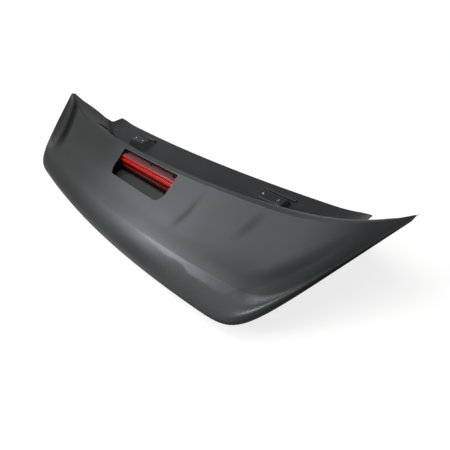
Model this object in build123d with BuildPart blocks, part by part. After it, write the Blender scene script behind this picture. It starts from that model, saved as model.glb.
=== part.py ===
"""Hatchback roof spoiler with a third brake lamp, lying on its outer skin.

X runs along the span, Y from the rear edge to the front flange and Z up from
the surface that it lies on. The origin is on that surface, under the middle.
"""
import os

from build123d import *

# Plan of the two shells
half_span = 572.0  # centre plane to the end of an ear
depth = 317.0  # rear edge to the flange's front edge
flange_half = 461.0  # centre plane to the flange's end
ear_length = 192.0  # end of an ear to where its own surfaces start
ear_lead = 85.0  # length over which the ear carries on the middle's lines
ear_rise = 52.0  # end of an ear to where the lip and the front edge bend up
rear_bow = 15.8  # how far the rear edge falls back where the ears start
tip_setback = 222.0  # rear edge to the side edge at the ear's end
side_sweep = 1.76  # run of the side edge along Y for each mm of span
side_climb = 0.90  # rise of the side edge for each mm of span
side_pull = 110.0  # length over which the side edge runs straight from its end
flange_length = 37.0  # flange's end, from its front edge to the ear's front edge
tip_width = 15.0  # ear's end, from its side edge to its front edge
notch_radius = 8.0  # inner corner between the flange's end and the ear
flange_corner = 6.0  # rounding of the flange's own corners

# Heights of the two shells
edge_rise = 8.0  # rear and front edges of the skin over its lowest line
crown = 15.1  # rise of the rear edge where the ears start
flange_crown = 12.4  # rise of the front edge where the ears start
tip_height = 141.5  # side edge at the ear's end
tip_front_height = 130.0  # skin's front edge at the ear's end, before it is trimmed
flank_height = 55.0  # skin's front edge at the bend
flank_rise = 68.0  # how far the skin stands up behind that edge
flank_setback = 10.0  # front edge to its own line at the bend
flank_width = 49.0  # that line to the skin's next one
tip_flank_rise = 18.0  # how far the skin stands up behind its edge at the ear's end

# Lip between the lower panel and its back wall
lip_setback = 174.0  # rear edge to the lip
lip_bow = 14.5  # forward bow of the lip where the ears start
lip_height = 87.0  # lip over the floor
lip_crown = 9.4  # rise of the lip where the ears start
bend_lip_setback = 212.0  # rear edge to the lip at the bend
bend_lip_height = 116.0  # lip over the floor at the bend
tip_lip_setback = 228.8  # rear edge to the lip at the ear's end
tip_lip_height = 145.2  # lip over the floor at the ear's end
land_width = 12.0  # strip along the top of the lip
land_fall = 2.5  # fall of that strip to its front edge
wall_foot = 14.0  # lip to the foot of the back wall, at the middle
wall_spread = 54.0  # extra run of the foot where the ears start
foot_sink = 4.0  # foot of the wall below the floor, before the skin trims it
foot_rise = 35.0  # foot of the wall over the skin's front edge at the bend
tip_foot_rise = 5.0  # the same at the ear's end
ledge = 4.0  # bare strip of skin in front of the ear's wall
roll_width = 46.0  # rear edge to the inner edge of the panel's rolled border
roll_rise = 27.7  # rear edge up to that inner edge
roll_bulge = 7.0  # how far the border's control line stands out behind the rear edge
roll_shoulder = 5.0  # height of that line over the rear edge
bend_roll_width = 26.0  # the same border at the bend
bend_roll_rise = 15.0
bend_roll_shift = 8.0  # shift of the border's inner edge along the span
bend_roll_shoulder = 6.0
tip_roll_share = 0.35  # inner edge of the border at the ear's end, from the side edge to the lip
roll_run = Vector(0, 36.0, 6.0)  # direction and reach of the panel at the border's inner edge
bend_roll_run = Vector(10.0, 32.0, 4.0)
tip_run_share = 0.3  # the same at the ear's end, from the side edge to the lip
hatch_place = 213.0  # end of an ear to the middle of the hatch in the back wall
hatch_width = 46.0
hatch_top = 35.0  # lip to the hatch's upper edge
hatch_depth = 90.0  # its upper edge to past the wall's foot
hatch_radius = 6.0  # upper corners
window_top = 1.5  # lip to the lamp window's upper edge
window_depth = 60.0  # lamp window, from its upper to its lower edge
window_half = 121.5  # half of the window's upper edge
window_taper = 1.5  # how much shorter half of its lower edge is
window_radius = 24.0  # lower corners
pocket_drop = 3.5  # lens to the floor of the lamp's pocket
pocket_end = 5.0  # lens's end to the end of that floor
pocket_overlap = 4.0  # window's lower edge to the floor's rear edge
pocket_root = 5.4  # housing's back face to the floor's root in the back wall
pocket_bow = 5.9  # bow of the back wall over the floor's length

# Mouldings
wall = 3.0  # shell thickness
tip_wall = 1.1  # shell thickness at the ear's end
seam = 0.3  # bond line between the shells
nose_drop = 4.0  # parting line below the widest point of the rear edge
nose_tuck = 1.5  # parting line inside the widest point
back = -depth / 2  # Y of the rear edge at the middle
ear_start = half_span - ear_length
ear_bend = half_span - ear_rise
tip_front = back + tip_setback + tip_width
rear_height = edge_rise + nose_drop + seam
spare = 3.0  # moulded past the front edge and trimmed off there
tip_spare = 10.0  # the same at the ear's end
below = 60.0  # depth of the cutting body under the skin

# Mounting bosses on the flange, each with two threaded inserts
boss_centre = 270.3  # centre plane to the middle between two holes
hole_spacing = 41.8  # one hole to the next
hole_inset = 46.6  # front edge to the holes
boss_height = 28.0  # top of a boss over the floor
boss_overhang = 14.0  # hole to the end of the boss's top
boss_back = 12.6  # holes to the front side of the top
boss_front = 9.0  # holes to the rear side of the top
boss_inner_run = 22.0  # spread of the sides from the top down to the floor
boss_outer_run = 8.0
boss_back_run = 6.0
boss_front_run = 26.0
boss_edge = 2.0  # rounding of the top
rib_inset = 20.5  # front edge to the rib in front of a boss
rib_length = 87.0
rib_width = 7.0
rib_height = 20.5  # top of the rib over the floor
rib_edge = 2.5  # rounding of the rib's top
insert_radius = 4.5
insert_length = 10.0
thread_radius = 2.65  # bore of an M6 insert

# Brake lamp behind the window
lamp_gap = 5.5  # front of the land to the housing's back face
lamp_drop = 12.0  # lip to the top of the lens
lens_half = 135.0  # half of the lens's length
lens_height = 31.5
lens_top = 14.7  # flat top of the lens
ridge_drop = 12.1  # height of the two ridges
ridge_run = 8.6  # how far the ridges come forward
ridge_bulge = 1.1  # roundness of each ridge
lens_lean = 3.0  # how far the front comes forward under the ridges
lens_wall = 2.5
tab_inset = 25.0  # end of the lens to its outer tabs
tab_place = 40.0  # centre plane to its inner tabs
tab_width = 6.0
tab_height = 2.5
seal_thickness = 1.2
plate = 2.5  # back plate of the housing
plate_border = 2.0  # housing's plate beyond the lens
cheek = 3.0  # end wall of the housing
cheek_depth = 14.0
slack = 0.3  # clearance between the lamp's own pieces
pad_place = 80.0  # centre plane to a lamp screw
pad_radius = 7.0  # screw pad on the panel's back wall
pad_length = 9.5
screw_radius = 2.2  # lamp screw's shank
screw_gap = 0.1  # clearance around every screw
screw_head = 5.0  # radius of the lamp screw's head
screw_head_height = 3.0
tower_radius = 5.0  # screw tower inside the housing
tower_length = 6.5
board_margin = 2.5  # lens to the circuit board, above and below
board_end_margin = 4.5  # lens to the circuit board at its ends
board_thickness = 1.6
standoff = 8.0  # housing's plate to the circuit board
standoff_radius = 3.2
board_screw_inset = 6.0  # board's end to its screw
board_screw_radius = 1.2
board_screw_head = 2.4
board_screw_head_height = 1.6
board_screw_length = 6.0  # below the board
led_pitch = 14.0
led_margin = 9.0  # board screw to the nearest diode's middle, at least
led_width = 4.0
led_base = 1.2
led_dome = 1.5  # radius of the lens on each diode
plug_place = 30.0  # centre plane to the connector
plug_width = 18.0
plug_height = 12.0
plug_length = 19.5
plug_wall = 1.8
plug_depth = 13.0  # depth of the socket
plug_gap = 1.0  # clearance in the back wall
pin_width = 1.2
pin_length = 9.0
pin_pitch = 5.0

# Each line along the span has four control points: the middle, the ear's start, its bend, its end
side = Vector(1, side_sweep, side_climb)
rim_end = Vector(half_span, back + tip_setback, tip_height)
rim = [
    Vector(0, back, rear_height),
    Vector(ear_start, back + rear_bow, rear_height + crown),
    rim_end - side * side_pull,
    rim_end,
]
lip = [
    Vector(0, back + lip_setback, lip_height),
    Vector(ear_start, back + lip_setback + lip_bow, lip_height + lip_crown),
    Vector(ear_bend, back + bend_lip_setback, bend_lip_height),
    Vector(half_span, back + tip_lip_setback, tip_lip_height),
]
front = [
    Vector(0, depth / 2 + spare, edge_rise),
    Vector(ear_start, depth / 2 + spare, edge_rise + flange_crown),
    Vector(ear_bend, depth / 2 - flank_setback, flank_height),
    Vector(half_span, tip_front + tip_spare, tip_front_height),
]
thickness = [wall, wall, wall, tip_wall]
taper = [1.0, 1.0, 1.0, 0.1]


def between(a, b, share_y, share_z):
    """A point between two others, with its own share of the way along Y and along Z."""
    return Vector(a.X + (b.X - a.X) * share_y, a.Y + (b.Y - a.Y) * share_y, a.Z + (b.Z - a.Z) * share_z)


def span_nets(lines):
    """Control nets of the middle, the right ear and the left ear of one strip.

    The middle is a parabola along the span, and the ears carry on its slope.
    """
    middle, ear = [], []
    for centre, start, bend, end in lines:
        slope = Vector(1, (start - centre).Y * 2 / ear_start, (start - centre).Z * 2 / ear_start)
        apex = Vector(0, 2 * centre.Y - start.Y, 2 * centre.Z - start.Z)
        middle.append([mirrored(start), apex, start])
        ear.append([start, start + slope * ear_lead, bend, end])
    return middle, ear, [[mirrored(p) for p in row] for row in ear]


def mirrored(point):
    return Vector(-point.X, point.Y, point.Z)


def moulding(strips):
    """A shell of one wall thickness from strips of outer lines and inner lines, side by side."""
    faces = []
    for outer, inner in strips:
        for net in span_nets(outer) + span_nets(inner):
            faces.append(Face.make_bezier_surface(net))
        end = [[line[-1] for line in outer], [line[-1] for line in inner]]
        faces.append(Face.make_bezier_surface(end))
        faces.append(Face.make_bezier_surface([[mirrored(p) for p in row] for row in end]))
    for edge in ([strips[0][0][0], strips[0][1][0]], [strips[-1][0][-1], strips[-1][1][-1]]):
        for net in span_nets(edge):
            faces.append(Face.make_bezier_surface(net))
    return Solid(Shell(faces))


def as_lines(sections):
    """Sections, one for each control place along the span, turned into lines along the span."""
    return [list(line) for line in zip(*sections)]


def skin_section(i, share, gap):
    """Control points of the skin's section, a share of the way through its wall and a gap above that."""
    inset = thickness[i] * share
    lift = Vector(0, 0, inset + gap)
    start = rim[i] + Vector(0, nose_tuck * taper[i], -nose_drop * taper[i] - seam)
    drop = Vector(0, 0, edge_rise * 4 / 3 * taper[i])
    low_back = between(start, front[i], 0.022, 0) + Vector(0, inset, 0) - drop
    low_front = between(start, front[i], 0.72, 1) - drop
    if i == 2:
        low_front = front[i] + Vector(0, -flank_width, flank_rise)
    if i == 3:
        low_front = low_front + Vector(0, 0, tip_flank_rise)
    return [start + Vector(0, inset, gap), low_back + lift, low_front + lift, front[i] + lift]


def skin_lines(share, gap=0.0):
    return as_lines([skin_section(i, share, gap) for i in range(4)])


def ground(share, gap=0.0):
    """Cutting body that fills the space under the skin, up to a share of its wall and a gap above that."""
    top = skin_lines(share, gap)
    top[0] = [p - Vector(0, 0, 1) * k for p, k in zip(top[0], taper)]
    bottom = [[p - Vector(0, 0, below) for p in line] for line in top]
    return moulding([(bottom, top)])


def plan_outline(inset):
    """Plan of the skin's front edge, flange and ears, inset by a ledge; open at the sides and rear."""
    notch = Vector(flange_half, depth / 2 - flange_length)
    corner = Vector(flange_half, depth / 2)
    ear_edge = Vector(half_span, tip_front) - notch
    past_end = notch + ear_edge * 1.3
    rear = back - below
    with BuildSketch() as plan:
        with BuildLine():
            Polyline((0, rear), (past_end.X, rear), past_end, notch, corner, (0, depth / 2), close=True)
        make_face()
        fillet(plan.vertices().sort_by_distance(notch)[0], notch_radius)
        fillet(plan.vertices().sort_by_distance(corner)[0], flange_corner)
        mirror(about=Plane.YZ)
        if inset:
            offset(amount=-inset, mode=Mode.REPLACE)
    return plan.sketch


# Mounting bosses, moulded on the flange with a long ramp to the rear, and a rib in front of each
inner_end = boss_centre - hole_spacing / 2 - boss_overhang
outer_end = boss_centre + hole_spacing / 2 + boss_overhang
boss_rear = depth / 2 - hole_inset - boss_front
boss_fore = depth / 2 - hole_inset + boss_back
with BuildPart() as bosses:
    with BuildSketch():
        with Locations((boss_centre, depth / 2 - rib_inset)):
            SlotOverall(rib_length, rib_width)
    extrude(amount=rib_height)
    fillet(bosses.faces().sort_by(Axis.Z)[-1].edges(), rib_edge)
    with BuildSketch():
        with BuildLine():
            Polyline(
                (inner_end - boss_inner_run, boss_rear - boss_front_run),
                (outer_end + boss_outer_run, boss_rear - boss_front_run),
                (outer_end + boss_outer_run, boss_fore + boss_back_run),
                (inner_end - boss_inner_run, boss_fore + boss_back_run),
                close=True,
            )
        make_face()
    with BuildSketch(Plane.XY.offset(boss_height)):
        with BuildLine():
            Polyline(
                (inner_end, boss_rear),
                (outer_end, boss_rear),
                (outer_end, boss_fore),
                (inner_end, boss_fore),
                close=True,
            )
        make_face()
    loft(ruled=True)
    fillet(bosses.faces().sort_by(Axis.Z)[-1].edges(), boss_edge)
    add(ground(0.5), mode=Mode.SUBTRACT)
    mirror(about=Plane.YZ)

# Outer skin: one moulding with the front flange and the bosses
hole_places = [
    (hand * (boss_centre + step * hole_spacing / 2), depth / 2 - hole_inset, boss_height)
    for hand in (-1, 1)
    for step in (-1, 1)
]
with BuildPart() as outer_skin:
    add(moulding([(skin_lines(0), skin_lines(1))]))
    extrude(plan_outline(0), amount=2 * tip_height, mode=Mode.INTERSECT)
    add(bosses.part)
    with Locations(*hole_places):
        Hole(insert_radius, depth=insert_length)

outer_skin.part.label = "outer_skin"

# Threaded inserts, pressed into the bosses flush with their tops
with BuildPart() as threaded_inserts:
    with BuildSketch(Plane.XY.offset(boss_height - insert_length)):
        with Locations(*[(x, y) for x, y, z in hole_places]):
            Circle(insert_radius)
            Circle(thread_radius, mode=Mode.SUBTRACT)
    extrude(amount=insert_length)

threaded_inserts.part.label = "threaded_inserts"

# Places of the lamp's pieces, from the lip
lamp_top = lip_height - lamp_drop
lamp_floor = lamp_top - lens_height
lamp_middle = lamp_top - lens_height / 2
lamp_back = back + lip_setback + land_width - lamp_gap
plate_front = lamp_back - plate
lens_rim = plate_front - seal_thickness
board_half = lens_half - lens_wall - board_end_margin
board_screw_place = board_half - board_screw_inset
led_count = 2 * int((board_screw_place - led_margin) / led_pitch) + 1


def upright(y):
    """Plane across the lamp at one depth, X to the right and Z up, that faces the rear edge."""
    return Plane.XZ.offset(-y)


# Lower panel: underside, lip and back wall in one moulding
roll_in = [(1, 0), (1, 0), (0.5, -0.85), (0.25, -1)]
field_in = [(0.25, -1), (0.2, -1), (0.25, -1), (0.1, -1)]
border_reach = 0.6  # reach on the border's side, as a share of the reach on the panel's side
strip_share = [1.0, 1.0, 0.5, 0.15]
shoulder = [
    rim[0] + Vector(0, -roll_bulge, roll_shoulder),
    rim[1] + Vector(0, -roll_bulge, roll_shoulder),
    rim[2] + Vector(0, 0, bend_roll_shoulder),
    rim[3],
]
border = [
    rim[0] + Vector(0, roll_width, roll_rise),
    rim[1] + Vector(0, roll_width, roll_rise),
    rim[2] + Vector(bend_roll_shift, bend_roll_width, bend_roll_rise),
    between(rim[3], lip[3], tip_roll_share, tip_roll_share),
]
run = [roll_run, roll_run, bend_roll_run, (lip[3] - rim[3]) * tip_run_share]
field_shape = [(0.575, 0.39), (0.575, 0.39), (0.70, 0.46), (0.80, 0.80)]
foot = [
    Vector(0, back + lip_setback + wall_foot, -foot_sink),
    Vector(ear_start, back + lip_setback + wall_foot + wall_spread, flange_crown),
    Vector(ear_bend, depth / 2 - flank_setback, flank_height + foot_rise),
    Vector(half_span, tip_front, tip_front_height + tip_foot_rise),
]
roll_strip, field_strip, land_strip, wall_strip = ([], []), ([], []), ([], []), ([], [])
for i in range(4):
    t = thickness[i]
    start = rim[i] + Vector(0, nose_tuck * taper[i], -nose_drop * taper[i])
    roll = [start, shoulder[i], border[i] - run[i] * border_reach, border[i]]
    field = [border[i], border[i] + run[i], between(rim[i], lip[i], *field_shape[i]), lip[i]]
    roll_strip[0].append(roll)
    roll_strip[1].append([p + Vector(0, u * t, w * t) for p, (u, w) in zip(roll, roll_in)])
    field_strip[0].append(field)
    field_strip[1].append([p + Vector(0, u * t, w * t) for p, (u, w) in zip(field, field_in)])
    edge = lip[i] + Vector(0, land_width, -land_fall) * strip_share[i]
    edge_in = edge + Vector(0, -0.9 * t, -t)
    land_strip[0].append([lip[i], edge])
    land_strip[1].append([field_strip[1][i][-1], edge_in])
    shares = [(0.5, 0.1), (0.9, 0.6)] if i < 2 else [(0.22, 0.42), (0.60, 0.80)]
    drop_line = [edge] + [between(edge, foot[i], u, w) for u, w in shares] + [foot[i]]
    wall_strip[0].append(drop_line)
    wall_strip[1].append([edge_in] + [p + Vector(0, -t, -0.2 * t) for p in drop_line[1:]])

with BuildPart() as lower_panel:
    strips = (roll_strip, field_strip, land_strip, wall_strip)
    add(moulding([(as_lines(outer), as_lines(inner)) for outer, inner in strips]))
    add(ground(1, seam), mode=Mode.SUBTRACT)
    extrude(plan_outline(ledge), amount=2 * tip_height, mode=Mode.INTERSECT)
    with BuildSketch(Plane.XY.offset(lip_height / 2)) as window:
        upper = back + lip_setback - window_top
        lower = upper - window_depth
        with BuildLine():
            Polyline(
                (-window_half, upper),
                (window_half, upper),
                (window_half - window_taper, lower),
                (window_taper - window_half, lower),
                close=True,
            )
        make_face()
        fillet(window.vertices().sort_by(Axis.Y)[:2], window_radius)
    extrude(amount=lip_height, mode=Mode.SUBTRACT)
    with BuildSketch() as hatches:
        hatch_y = back + lip_setback + hatch_top + hatch_depth / 2
        with Locations((hatch_place - half_span, hatch_y), (half_span - hatch_place, hatch_y)):
            Rectangle(hatch_width, hatch_depth)
        fillet(hatches.vertices().group_by(Axis.Y)[0], hatch_radius)
    extrude(amount=lip_height + lip_crown, mode=Mode.SUBTRACT)
    with BuildSketch(Plane.XY.offset(lamp_floor - pocket_drop)):
        pocket_half = lens_half + pocket_end
        root = lamp_back + pocket_root
        with BuildLine():
            Polyline(
                (-pocket_half, root + pocket_bow),
                (-pocket_half, lower - pocket_overlap),
                (pocket_half, lower - pocket_overlap),
                (pocket_half, root + pocket_bow),
            )
            ThreePointArc((-pocket_half, root + pocket_bow), (0, root), (pocket_half, root + pocket_bow))
        make_face()
    extrude(amount=-wall)
    with BuildSketch(upright(lamp_back)):
        with Locations((-pad_place, lamp_middle), (pad_place, lamp_middle)):
            Circle(pad_radius)
    extrude(amount=-pad_length)
    with BuildSketch(upright(lamp_back)):
        with Locations((-pad_place, lamp_middle), (pad_place, lamp_middle)):
            Circle(screw_radius + screw_gap)
        with Locations((plug_place, lamp_middle)):
            Rectangle(plug_width + 2 * plug_gap, plug_height + 2 * plug_gap)
    extrude(amount=-pad_length, mode=Mode.SUBTRACT)

lower_panel.part.label = "lower_panel"

# Lens: red shell with a flat top, two rounded ridges and four tabs, open at the back
with BuildPart() as lamp_lens:
    with BuildSketch(Plane.YZ):
        with BuildLine():
            top = Line((lens_rim, lamp_top), (lens_rim - lens_top, lamp_top))
            ridge_foot = (lens_rim - lens_top - ridge_run, lamp_top - ridge_drop)
            upper_ridge = SagittaArc(top @ 1, (top @ 1 + Vector(*ridge_foot)) / 2, ridge_bulge)
            lower_ridge = SagittaArc(upper_ridge @ 1, ridge_foot, ridge_bulge)
            Polyline(
                lower_ridge @ 1,
                (lens_rim - lens_top - ridge_run - lens_lean, lamp_floor),
                (lens_rim, lamp_floor),
                top @ 0,
            )
        make_face()
    extrude(amount=lens_half, both=True)
    offset(amount=-lens_wall, openings=lamp_lens.faces().sort_by(Axis.Y)[-1])
    with BuildSketch(Plane.XY.offset(lamp_top)):
        for place in (tab_place, lens_half - tab_inset):
            with Locations((-place, lens_rim - lens_wall / 2), (place, lens_rim - lens_wall / 2)):
                Rectangle(tab_width, lens_wall)
    extrude(amount=tab_height)

lamp_lens.part.label = "lamp_lens"

# Seal: rubber frame between the lens and the housing
with BuildPart() as lens_seal:
    with BuildSketch(upright(lens_rim)):
        with Locations((0, lamp_middle)):
            Rectangle(2 * lens_half, lens_height)
            Rectangle(2 * (lens_half - lens_wall), lens_height - 2 * lens_wall, mode=Mode.SUBTRACT)
    extrude(amount=-seal_thickness)

lens_seal.part.label = "lens_seal"

# Housing: back plate with end cheeks, standoffs for the board and screw towers
with BuildPart() as lamp_housing:
    with BuildSketch(upright(lamp_back)):
        with Locations((0, lamp_middle)):
            Rectangle(2 * (lens_half + slack + cheek), lens_height + 2 * plate_border)
    extrude(amount=plate)
    with BuildSketch(upright(plate_front)):
        with Locations((-lens_half - slack - cheek / 2, lamp_middle), (lens_half + slack + cheek / 2, lamp_middle)):
            Rectangle(cheek, lens_height)
    extrude(amount=cheek_depth)
    with BuildSketch(upright(plate_front)):
        with Locations((-board_screw_place, lamp_middle), (board_screw_place, lamp_middle)):
            Circle(standoff_radius)
    extrude(amount=standoff)
    with BuildSketch(upright(plate_front)):
        with Locations((-pad_place, lamp_middle), (pad_place, lamp_middle)):
            Circle(tower_radius)
    extrude(amount=tower_length)
    with BuildSketch(upright(lamp_back)):
        with Locations((-pad_place, lamp_middle), (pad_place, lamp_middle)):
            Circle(screw_radius + screw_gap)
    extrude(amount=plate + tower_length - 1, mode=Mode.SUBTRACT)
    with BuildSketch(upright(plate_front - standoff)):
        with Locations((-board_screw_place, lamp_middle), (board_screw_place, lamp_middle)):
            Circle(board_screw_radius + screw_gap)
    extrude(amount=-board_screw_length - 1, mode=Mode.SUBTRACT)

lamp_housing.part.label = "lamp_housing"

# Circuit board on the standoffs, with its row of diodes and two screws
board_back = plate_front - standoff
board_front = board_back - board_thickness
with BuildPart() as led_board:
    with BuildSketch(upright(board_back)):
        with Locations((0, lamp_middle)):
            Rectangle(2 * board_half, lens_height - 2 * (lens_wall + board_margin))
        with Locations((-board_screw_place, lamp_middle), (board_screw_place, lamp_middle)):
            Circle(board_screw_radius + screw_gap, mode=Mode.SUBTRACT)
    extrude(amount=board_thickness)

led_board.part.label = "led_board"

with BuildPart() as leds:
    with BuildSketch(upright(board_front)):
        with Locations((0, lamp_middle)):
            with GridLocations(led_pitch, 0, led_count, 1):
                Rectangle(led_width, led_width)
    extrude(amount=led_base)
    with BuildSketch(upright(board_front - led_base)):
        with Locations((0, lamp_middle)):
            with GridLocations(led_pitch, 0, led_count, 1):
                Circle(led_dome)
    extrude(amount=led_dome, taper=25)

leds.part.label = "leds"

with BuildPart() as board_screws:
    with BuildSketch(upright(board_front)):
        with Locations((-board_screw_place, lamp_middle), (board_screw_place, lamp_middle)):
            Circle(board_screw_head)
    extrude(amount=board_screw_head_height)
    with BuildSketch(upright(board_front)):
        with Locations((-board_screw_place, lamp_middle), (board_screw_place, lamp_middle)):
            Circle(board_screw_radius)
    extrude(amount=-board_thickness - board_screw_length)

board_screws.part.label = "board_screws"

# Connector: socket on the housing's back, out through the back wall
with BuildPart() as lamp_connector:
    with BuildSketch(upright(lamp_back)):
        with Locations((plug_place, lamp_middle)):
            Rectangle(plug_width, plug_height)
    extrude(amount=-plug_length)
    with BuildSketch(upright(lamp_back + plug_length)):
        with Locations((plug_place, lamp_middle)):
            Rectangle(plug_width - 2 * plug_wall, plug_height - 2 * plug_wall)
    extrude(amount=plug_depth, mode=Mode.SUBTRACT)

lamp_connector.part.label = "lamp_connector"

with BuildPart() as connector_pins:
    with BuildSketch(upright(lamp_back + plug_length - plug_depth)):
        with Locations((plug_place, lamp_middle)):
            with GridLocations(pin_pitch, 0, 2, 1):
                Rectangle(pin_width, pin_width)
    extrude(amount=-pin_length)

connector_pins.part.label = "connector_pins"

# Lamp screws: from the back wall's pads into the housing's towers
with BuildPart() as lamp_screws:
    with BuildSketch(upright(lamp_back + pad_length)):
        with Locations((-pad_place, lamp_middle), (pad_place, lamp_middle)):
            Circle(screw_head)
    extrude(amount=-screw_head_height)
    with BuildSketch(upright(lamp_back + pad_length)):
        with Locations((-pad_place, lamp_middle), (pad_place, lamp_middle)):
            Circle(screw_radius)
    extrude(amount=pad_length + plate + tower_length - 2)

lamp_screws.part.label = "lamp_screws"

os.makedirs("parts", exist_ok=True)
export_step(outer_skin.part, "parts/outer_skin.step")
export_step(threaded_inserts.part, "parts/threaded_inserts.step")
export_step(lower_panel.part, "parts/lower_panel.step")
export_step(lamp_lens.part, "parts/lamp_lens.step")
export_step(lens_seal.part, "parts/lens_seal.step")
export_step(lamp_housing.part, "parts/lamp_housing.step")
export_step(led_board.part, "parts/led_board.step")
export_step(leds.part, "parts/leds.step")
export_step(board_screws.part, "parts/board_screws.step")
export_step(lamp_connector.part, "parts/lamp_connector.step")
export_step(connector_pins.part, "parts/connector_pins.step")
export_step(lamp_screws.part, "parts/lamp_screws.step")
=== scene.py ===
import math

import bmesh
import bpy
from mathutils import Matrix, Vector


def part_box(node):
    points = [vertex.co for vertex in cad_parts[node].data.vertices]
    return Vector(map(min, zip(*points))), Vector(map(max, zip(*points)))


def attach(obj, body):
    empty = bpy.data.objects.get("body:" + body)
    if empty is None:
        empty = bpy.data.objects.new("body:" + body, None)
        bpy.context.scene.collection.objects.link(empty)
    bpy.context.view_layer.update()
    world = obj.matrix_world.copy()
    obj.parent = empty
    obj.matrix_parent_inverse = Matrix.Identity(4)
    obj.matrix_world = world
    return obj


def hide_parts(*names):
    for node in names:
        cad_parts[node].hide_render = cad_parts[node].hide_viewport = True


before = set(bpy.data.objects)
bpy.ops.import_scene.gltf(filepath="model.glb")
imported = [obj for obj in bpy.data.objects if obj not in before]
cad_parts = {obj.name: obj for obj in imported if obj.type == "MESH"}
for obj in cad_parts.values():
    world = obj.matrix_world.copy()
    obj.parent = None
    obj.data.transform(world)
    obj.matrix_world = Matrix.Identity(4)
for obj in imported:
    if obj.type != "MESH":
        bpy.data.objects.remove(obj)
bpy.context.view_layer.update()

# Outer skin: the side that lies down here and shows over the tailgate, with the front flange and its
# two bosses. One injection moulding in black ABS, used as it leaves the tool, without paint.
MM = 0.001
flow_width = 90 * MM  # clouds that the flowing melt leaves
grain_width = 2.5 * MM  # the tool's grain as it is drawn
grain_depth = 0.3 * MM


def add(tree, kind, settings=None, links=None):
    """Adds one node, sets its properties or sockets, and links its inputs.

    A Mix node's sockets share their names, so they go by number. Its colours are inputs 6 and 7 and
    output 2, its plain values are inputs 2 and 3 and output 0, and input 0 is its factor.
    """
    made = tree.nodes.new(kind)
    for name, value in (settings or {}).items():
        if isinstance(name, str) and hasattr(made, name):
            setattr(made, name, value)
        else:
            made.inputs[name].default_value = value
    for name, source in (links or {}).items():
        tree.links.new(source, made.inputs[name])
    return made


def colour(hex_code):
    """An sRGB hex value as linear RGBA."""
    channels = [int(hex_code[i:i + 2], 16) / 255 for i in (0, 2, 4)]
    return [c / 12.92 if c <= 0.04045 else ((c + 0.055) / 1.055) ** 2.4 for c in channels] + [1.0]


def material(name, **sockets):
    """A new material with its shader's fixed sockets set, its node tree, its shader and its coordinates."""
    made = bpy.data.materials.new(name)
    made.use_nodes = True
    tree = made.node_tree
    shader = tree.nodes["Principled BSDF"]
    for socket, value in sockets.items():
        shader.inputs[socket.replace("_", " ")].default_value = value
    return made, tree, shader, add(tree, "ShaderNodeTexCoord").outputs["Object"]


def lay_over(tree, finish, mask, tone=None, rough=None, sheen=None):
    """Lays another tone, roughness or sheen over a finish, as far as a mask from 0 to 1 says."""
    if tone:
        mixed = add(
            tree, "ShaderNodeMix", {"data_type": "RGBA", 7: colour(tone)}, {0: mask, 6: finish["tone"]})
        finish["tone"] = mixed.outputs[2]
    for name, value in (("rough", rough), ("sheen", sheen)):
        if value is not None:
            mixed = add(tree, "ShaderNodeMix", {"data_type": "FLOAT", 3: value}, {0: mask, 2: finish[name]})
            finish[name] = mixed.outputs[0]


def wire(tree, shader, **sources):
    """Links what a material has worked out to its shader's sockets."""
    for socket, source in sources.items():
        tree.links.new(source, shader.inputs[socket.replace("_", " ")])


def dress(node, finish):
    """Gives a node of the frame one finish all over."""
    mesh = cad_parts[node].data
    mesh.materials.clear()
    mesh.materials.append(finish)


# ABS, moulded satin: near black, with wide flow clouds in tone and gloss that soften the highlights.
# The tool's grain is about 0.3 mm and too fine to show here, so it is drawn 2.5 mm wide.
satin_abs, tree, shader, place = material("ABS_black_moulded_satin", IOR=1.50)
cloud = add(
    tree, "ShaderNodeTexNoise", {"Scale": 1 / flow_width, "Detail": 4.0, "Roughness": 0.55},
    {"Vector": place})
tone = add(
    tree, "ShaderNodeMix",
    {"data_type": "RGBA", 6: colour("202324"), 7: colour("272A2B")}, {0: cloud.outputs["Fac"]})
gloss = add(
    tree, "ShaderNodeMapRange", {"From Min": 0.3, "From Max": 0.7, "To Min": 0.34, "To Max": 0.42},
    {"Value": cloud.outputs["Fac"]})
grain = add(tree, "ShaderNodeTexNoise", {"Scale": 1 / grain_width, "Detail": 2.0}, {"Vector": place})
relief = add(
    tree, "ShaderNodeBump", {"Strength": 0.05, "Distance": grain_depth}, {"Height": grain.outputs["Fac"]})

# The side that shows on the car is from a polished half of the tool, and is glossier.
normal = add(tree, "ShaderNodeNewGeometry").outputs["Normal"]
facing = add(tree, "ShaderNodeSeparateXYZ", links={"Vector": normal}).outputs
polished = add(
    tree, "ShaderNodeMapRange", {"interpolation_type": "SMOOTHSTEP", "From Min": -0.02, "From Max": -0.25},
    {"Value": facing["Z"]})
finish = {"rough": gloss.outputs["Result"]}
lay_over(tree, finish, polished.outputs["Result"], rough=0.14)
wire(tree, shader, Base_Color=tone.outputs[2], Roughness=finish["rough"], Normal=relief.outputs["Normal"])
dress("outer_skin", satin_abs)

# Threaded inserts: four bushes in two pairs, pressed into the bosses flush with their tops.
# Turned from steel, tapped M6 and zinc plated, so their bores catch the light.
insert_radius = 4.5 * MM
insert_length = 10 * MM
chamfer = 0.5 * MM
thread_radius = 2.65 * MM
thread_depth = 0.35 * MM
thread_pitch = 1.0 * MM
boss_centre = 270.3 * MM
hole_spacing = 41.8 * MM
plate_patch = 3 * MM
turning_marks = 2.513 * MM
wave_turn = 2 * math.pi / 20  # length of one wave of a wave texture whose scale is 1


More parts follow.
